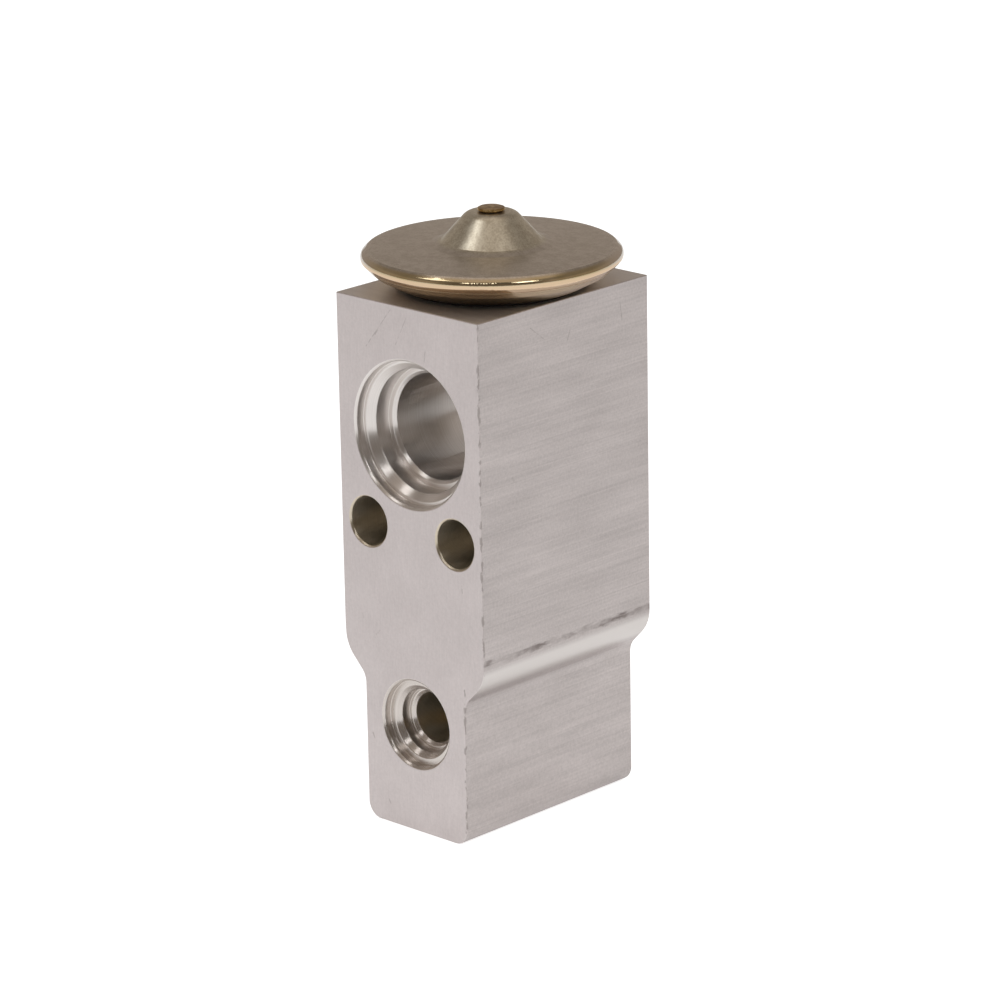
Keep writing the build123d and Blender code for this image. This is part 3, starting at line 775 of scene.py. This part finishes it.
def passivated_steel():
    """Colour by a cloud 1 mm across plus a grain 0.25 mm across, with a tint of its own on the
    hub, on the rim and under the seam, and a darker brown of painted shade on the dish. The
    rim's gold grows with the distance along WELD_SIDE. Each tint fades over the pair of radii
    or heights that is named for it."""
    material, tree, point = new_material("passivated_steel")
    xyz = add_node(tree, "SeparateXYZ", {0: point})
    flat = add_node(tree, "VectorMath", {0: point, 1: (1, 1, 0)}, operation="MULTIPLY")
    radius = add_node(tree, "VectorMath", {0: flat}, operation="LENGTH")
    cloud = streaks(tree, point, (0.9, 0.9, 0.9), 4.0)
    grain = streaks(tree, point, (4.0, 4.0, 4.0), 3.0)
    both = add_node(tree, "Math", {0: cloud, 1: grain}, operation="ADD")
    share = add_node(tree, "MapRange", {0: both, 1: 0.7, 2: 1.3}, **EASED)
    inputs = {0: share, 6: linear("BEB5A9"), 7: linear("D4CCC2")}
    colour = add_node(tree, "Mix", inputs, **COLOURS)
    inputs = {0: radius, 1: HUB_EDGE[0], 2: HUB_EDGE[1], 3: 1.0, 4: 0.0}
    hub = add_node(tree, "MapRange", inputs, **EASED)
    share = add_node(tree, "MapRange", {0: both, 1: 0.75, 2: 1.25}, **EASED)
    inputs = {0: share, 6: linear("C0B8A6"), 7: linear("DAD4C3")}
    greenish = add_node(tree, "Mix", inputs, **COLOURS)
    colour = add_node(tree, "Mix", {0: hub, 6: colour, 7: greenish}, **COLOURS)
    facing = add_node(tree, "VectorMath", {0: flat, 1: WELD_SIDE}, operation="DOT_PRODUCT")
    inputs = {0: facing, 1: GOLD_FROM_TO[0], 2: GOLD_FROM_TO[1]}
    gold = add_node(tree, "MapRange", inputs, **EASED)
    inputs = {0: gold, 6: linear("CABFB2"), 7: linear("CDBB9A")}
    heat = add_node(tree, "Mix", inputs, **COLOURS)
    patches = streaks(tree, point, (0.14, 0.14, 0.14), 3.0)
    patches = add_node(tree, "MapRange", {0: patches, 1: 0.4, 2: 0.62, 4: 0.7}, **EASED)
    olive = add_node(tree, "Math", {0: patches, 1: gold}, operation="MULTIPLY")
    heat = add_node(tree, "Mix", {0: olive, 6: heat, 7: linear("B3A274")}, **COLOURS)
    rim = add_node(tree, "MapRange", {0: radius, 1: RIM_EDGE[0], 2: RIM_EDGE[1]}, **EASED)
    colour = add_node(tree, "Mix", {0: rim, 6: colour, 7: heat}, **COLOURS)
    inputs = {0: xyz.outputs["Z"], 1: SEAM_Z[0], 2: SEAM_Z[1], 3: 1.0, 4: 0.0}
    under = add_node(tree, "MapRange", inputs, **EASED)
    colour = add_node(tree, "Mix", {0: under, 6: colour, 7: linear("DFC4A4")}, **COLOURS)
    # painted shade: the dish below the seam is a darker brown, for the shade under the rim and the
    # dark block top that it mirrors
    inputs = {0: xyz.outputs["Z"], 1: DISH_SHADE_Z[0], 2: DISH_SHADE_Z[1], 3: 1.0, 4: 0.0}
    below = add_node(tree, "MapRange", inputs, **EASED)
    colour = add_node(tree, "Mix", {0: below, 6: colour, 7: linear("BCA78C")}, **COLOURS)
    inputs = {0: radius, 1: SMOOTH_EDGE[0], 2: SMOOTH_EDGE[1], 3: 0.32, 4: 0.11}
    rough = add_node(tree, "MapRange", inputs, **EASED)
    inputs = {"Base Color": colour, "Metallic": 1.0, "Roughness": rough}
    finish_surface(tree, inputs, grain, 0.2)
    return material


steel = passivated_steel()
print(steel.name, "has", len(steel.node_tree.nodes), "nodes")

# %% Brass of the plug


def browned_brass():
    """Brass that the weld has browned: dark and light brown by a cloud 0.8 mm across. To the
    eye it is the one warm, dark spot on the head, with a soft shine."""
    material, tree, point = new_material("browned_brass")
    cloud = streaks(tree, point, (1.2, 1.2, 1.2), 4.0)
    share = add_node(tree, "MapRange", {0: cloud, 1: 0.35, 2: 0.65}, **EASED)
    inputs = {0: share, 6: linear("8A6B3C"), 7: linear("C0A678")}
    colour = add_node(tree, "Mix", inputs, **COLOURS)
    inputs = {"Base Color": colour, "Metallic": 1.0, "Roughness": 0.3}
    finish_surface(tree, inputs, cloud, 0.5)
    return material


brass = browned_brass()
print(brass.name, "has", len(brass.node_tree.nodes), "nodes")

# %% Bind the head's pieces
for piece, node, slot, material in (
    (cover, "head_cover", "head_steel", steel),
    (base, "head_base", "head_steel", steel),
    (plug, "charge_plug", "plug_metal", brass),
):
    piece.data.materials.append(material)
    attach(piece, "block")
    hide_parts(node)
    print(piece.name, "takes the place of", node)

# %% [markdown]
# The rest of the valve is hidden inside the block and the head, but the model can be opened, so
# each inner piece has its own finish. Their CAD shapes are good enough as they are. One function
# serves all the metals, because they differ only in colour, in shine and in the way that the
# grain runs. Turned steel and brass show fine bright rings, spring steel is darker and duller,
# and the ball is ground until it mirrors.

# %% Metals of the inner pieces


def plain_metal(name, dull, bright, rough, per_mm):
    """Colour from dull to bright, and roughness between the pair's two values, both by one
    stretched noise of so many grains per mm along X, Y and Z."""
    material, tree, point = new_material(name)
    grain = streaks(tree, point, per_mm, 3.0)
    share = add_node(tree, "MapRange", {0: grain, 1: 0.3, 2: 0.7}, **EASED)
    colour = add_node(tree, "Mix", {0: share, 6: linear(dull), 7: linear(bright)}, **COLOURS)
    inputs = {0: grain, 1: 0.3, 2: 0.7, 3: rough[0], 4: rough[1]}
    rough = add_node(tree, "MapRange", inputs)
    inputs = {"Base Color": colour, "Metallic": 1.0, "Roughness": rough}
    finish_surface(tree, inputs, grain, 0.1)
    return material


turned_steel = plain_metal("turned_steel", "B4B2AE", "D2D0CC", (0.2, 0.32), (0.4, 0.4, 6.0))
spring_steel = plain_metal("spring_steel", "8E8C88", "BEBCB8", (0.25, 0.38), (2.0, 2.0, 2.0))
polished_steel = plain_metal("polished_steel", "D0D0D0", "DCDCDC", (0.06, 0.1), (1.0, 1.0, 1.0))
turned_brass = plain_metal("turned_brass", "C8A868", "DEC48A", (0.2, 0.3), (0.4, 0.4, 6.0))
print("four metals, such as", turned_steel.name)

# %% Rubber of the seals


def seal_rubber():
    """Black nitrile rubber, satin: near black, with a faint grey bloom 0.3 mm across, which
    tells the eye that it is moulded and not painted."""
    material, tree, point = new_material("nitrile_rubber")
    bloom = streaks(tree, point, (3.0, 3.0, 3.0), 3.0)
    inputs = {0: bloom, 6: linear("141414"), 7: linear("242322")}
    colour = add_node(tree, "Mix", inputs, **COLOURS)
    rough = add_node(tree, "MapRange", {0: bloom, 1: 0.3, 2: 0.7, 3: 0.4, 4: 0.52})
    inputs = {"Base Color": colour, "Roughness": rough, "IOR": 1.52}
    finish_surface(tree, inputs, bloom, 0.1)
    return material


rubber = seal_rubber()
print(rubber.name, "has", len(rubber.node_tree.nodes), "nodes")

# %% Finish of each inner piece
inner_finishes = {
    "diaphragm": spring_steel,
    "stopper_plate": turned_brass,
    "head_seal": rubber,
    "sensing_rod": turned_steel,
    "push_pin": turned_steel,
    "valve_ball": polished_steel,
    "rod_seal": rubber,
    "rod_seal_retainer": spring_steel,
    "ball_carrier": turned_brass,
    "damping_spring": spring_steel,
    "adjusting_screw": turned_brass,
    "adjuster_seal": rubber,
}
for name, material in inner_finishes.items():
    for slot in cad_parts[name].material_slots:
        slot.material = material
print(len(inner_finishes), "inner pieces finished")

# %% [markdown]
# The superheat spring pushes the ball towards its seat. It is a tube swept along a helix, cut
# flat at both ends. Its two ends sit on different moving pieces, and it is made as two halves
# that meet at its middle.

# %% Sizes of the superheat spring
COIL_RADIUS = 3.45
WIRE_RADIUS = 0.55
COIL_TURNS = 4.5
spring_foot, spring_top = (float(corner[2]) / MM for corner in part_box("superheat_spring"))
print("spring from", round(spring_foot, 2), "to", round(spring_top, 2), "mm")

# %% Helix of wire


def coil(name, first, last, steps=160, around=20):
    """Tube on a helix: at share t of its length the centre is (R cos 2 pi N t, R sin 2 pi N t,
    foot + L t). The wire's ring stands across the wire, on the outward way and on the way that
    is Z leant back by the helix's slope. Heights past the ends are cut flat, and the centre
    point, repeated at each end, closes the tube."""
    share = np.linspace(first, last, steps)[:, None]
    turn = 2 * np.pi * COIL_TURNS * share
    length = spring_top - spring_foot
    slope = np.arctan2(length, 2 * np.pi * COIL_TURNS * COIL_RADIUS)
    ring = np.linspace(0, 2 * np.pi, around, endpoint=False)
    out = COIL_RADIUS + WIRE_RADIUS * np.cos(ring)
    lean = WIRE_RADIUS * np.sin(ring) * np.sin(slope)
    x = out * np.cos(turn) + lean * np.sin(turn)
    y = out * np.sin(turn) - lean * np.cos(turn)
    z = spring_foot + length * share + WIRE_RADIUS * np.sin(ring) * np.cos(slope)
    centre_x, centre_y = COIL_RADIUS * np.cos(turn), COIL_RADIUS * np.sin(turn)
    centres = np.stack([centre_x, centre_y, spring_foot + length * share], axis=-1)
    caps = np.repeat(centres[[0, -1]], around, axis=1)
    grid = np.concatenate([caps[:1], np.stack([x, y, z], axis=-1), caps[1:]])
    grid[..., 2] = np.clip(grid[..., 2], spring_foot, spring_top)
    return grid_object(name, grid[..., 0], grid[..., 1], grid[..., 2], False)


lower_half = coil("spring_lower_half", 0.0, 0.5)
upper_half = coil("spring_upper_half", 0.5, 1.0)
print("each half has", len(lower_half.data.polygons), "faces")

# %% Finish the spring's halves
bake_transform(lower_half)
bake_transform(upper_half)
for half in (lower_half, upper_half):
    half.data.materials.append(spring_steel)
    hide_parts("superheat_spring")

# %% [markdown]
# The valve stands on a sheet of white paper, far wider than the view. Lit paper alone comes out
# grey, so it also glows: for the camera, and for what the metal mirrors, where the glow is
# strongest near the foot. To every other ray it is plain paper, so that the glow doesn't light
# the valve from below.

# %% Paper on the floor
PAPER_SIZE = 6.0
POOL_EDGE = (30 * MM, 100 * MM)
POOL_GLOW = (0.36, 0.25)
CAMERA_GLOW = 0.35
bpy.ops.mesh.primitive_plane_add(size=PAPER_SIZE)
floor = bpy.context.object
floor.name = "floor"
material = bpy.data.materials.new("white_paper")
material.use_nodes = True
tree = material.node_tree
tree.nodes.clear()
paper = add_node(tree, "BsdfDiffuse", {"Color": linear("F4F4F4")})
place = add_node(tree, "TexCoord")
distance = add_node(tree, "VectorMath", {0: place.outputs["Object"]}, operation="LENGTH")
inputs = {0: distance, 1: POOL_EDGE[0], 2: POOL_EDGE[1], 3: POOL_GLOW[0], 4: POOL_GLOW[1]}
pool = add_node(tree, "MapRange", inputs, **EASED)
path = add_node(tree, "LightPath")
inputs = {0: path.outputs["Is Camera Ray"], 1: CAMERA_GLOW, 2: pool}
strength = add_node(tree, "Math", inputs, operation="MULTIPLY_ADD")
glow = add_node(tree, "Emission", {"Color": (1, 1, 1, 1), "Strength": strength})
inputs = {0: path.outputs["Is Camera Ray"], 1: path.outputs["Is Glossy Ray"]}
seen = add_node(tree, "Math", inputs, operation="MAXIMUM")
both = add_node(tree, "AddShader", {0: paper, 1: glow})
mix = add_node(tree, "MixShader", {0: seen, 1: paper, 2: both})
add_node(tree, "OutputMaterial", {"Surface": mix})
floor.data.materials.append(material)
print("paper", PAPER_SIZE, "m wide")

# %% [markdown]
# Bare metal shows the room more than itself, so the room is designed. The camera sees plain
# white, and the light that falls on the valve is nearly white. Only reflections see the room: a
# warm grey wall, darker behind the camera and towards its top, with a lighter roof. These dark
# parts give the polished rim and the bores their contrast. How high a ray points is told by its
# sine, which is the ray's Z, and how far behind the camera by the cosine to BEHIND_CAMERA.

# %% Room
SKY_STRENGTH = 0.62
BEHIND_CAMERA = (0.67, -0.70, 0.25)
DARK_BEHIND = 0.45
BEHIND_COSINE = (0.55, 0.85)
WALL_SINE = (0.36, 0.60)
WALL_LIGHT = (0.37, 0.26)
ROOF_SINE = (0.80, 0.92)
ROOF_LIGHT = 0.32
world = bpy.data.worlds.new("studio")
bpy.context.scene.world = world
world.use_nodes = True
tree = world.node_tree
tree.nodes.clear()
path = add_node(tree, "LightPath")
white = add_node(tree, "Background", {"Color": (1, 1, 1, 1), "Strength": 1.0})
dome = add_node(tree, "Background", {"Color": (1, 0.99, 0.98, 1), "Strength": SKY_STRENGTH})
ray = add_node(tree, "TexCoord").outputs["Generated"]
towards = add_node(tree, "VectorMath", {0: ray, 1: BEHIND_CAMERA}, operation="DOT_PRODUCT")
inputs = {0: towards, 1: BEHIND_COSINE[0], 2: BEHIND_COSINE[1], 3: 1.0, 4: DARK_BEHIND}
front = add_node(tree, "MapRange", inputs, **EASED)
rise = add_node(tree, "SeparateXYZ", {0: ray}).outputs["Z"]
inputs = {0: rise, 1: WALL_SINE[0], 2: WALL_SINE[1], 3: WALL_LIGHT[0], 4: WALL_LIGHT[1]}
wall = add_node(tree, "MapRange", inputs, **EASED)
inputs = {0: rise, 1: ROOF_SINE[0], 2: ROOF_SINE[1], 3: 0.0, 4: ROOF_LIGHT}
roof = add_node(tree, "MapRange", inputs, **EASED)
upper = add_node(tree, "Math", {0: wall, 1: roof}, operation="ADD")
strength = add_node(tree, "Math", {0: upper, 1: front}, operation="MULTIPLY")
room = add_node(tree, "Background", {"Color": (1, 0.86, 0.74, 1), "Strength": strength})
lit = add_node(tree, "MixShader", {0: path.outputs["Is Glossy Ray"], 1: dome, 2: room})
mix = add_node(tree, "MixShader", {0: path.outputs["Is Camera Ray"], 1: lit, 2: white})
add_node(tree, "OutputWorld", {"Surface": mix})
print("the roof starts", round(float(np.degrees(np.arcsin(ROOF_SINE[0])))), "degrees up")

# %% [markdown]
# Three softboxes give the highlights: one high on the left for the head and the top, one on the
# right for the long side, and one near the camera that reaches into the ports. A softbox is a
# square lamp, because a large soft source draws a broad highlight on metal, where a point lamp
# would draw a spark.

# %% Lamps
BLOCK_MIDDLE_Z = 40


def softbox(name, compass, height, size, radiance):
    """Square lamp one metre away at a compass angle and height, facing the block's middle.
    A lamp that looks as bright as radiance gives radiance x pi x area watts."""
    data = bpy.data.lights.new(name, "AREA")
    data.shape = "SQUARE"
    data.size = size
    data.energy = radiance * np.pi * size**2
    lamp = bpy.data.objects.new(name, data)
    bpy.context.scene.collection.objects.link(lamp)
    turn, rise = np.radians([compass, height])
    away = Vector((np.sin(turn) * np.cos(rise), -np.cos(turn) * np.cos(rise), np.sin(rise)))
    lamp.location = Vector((0, 0, BLOCK_MIDDLE_Z * MM)) + away
    lamp.rotation_euler = away.to_track_quat("Z", "Y").to_euler()
    print(name, round(data.energy, 2), "W")


softbox("softbox_left", -37, 59, 0.26, 2.2)
softbox("softbox_front", 78, 46, 0.28, 3.4)
softbox("softbox_ports", 24, 45, 0.22, 3.0)
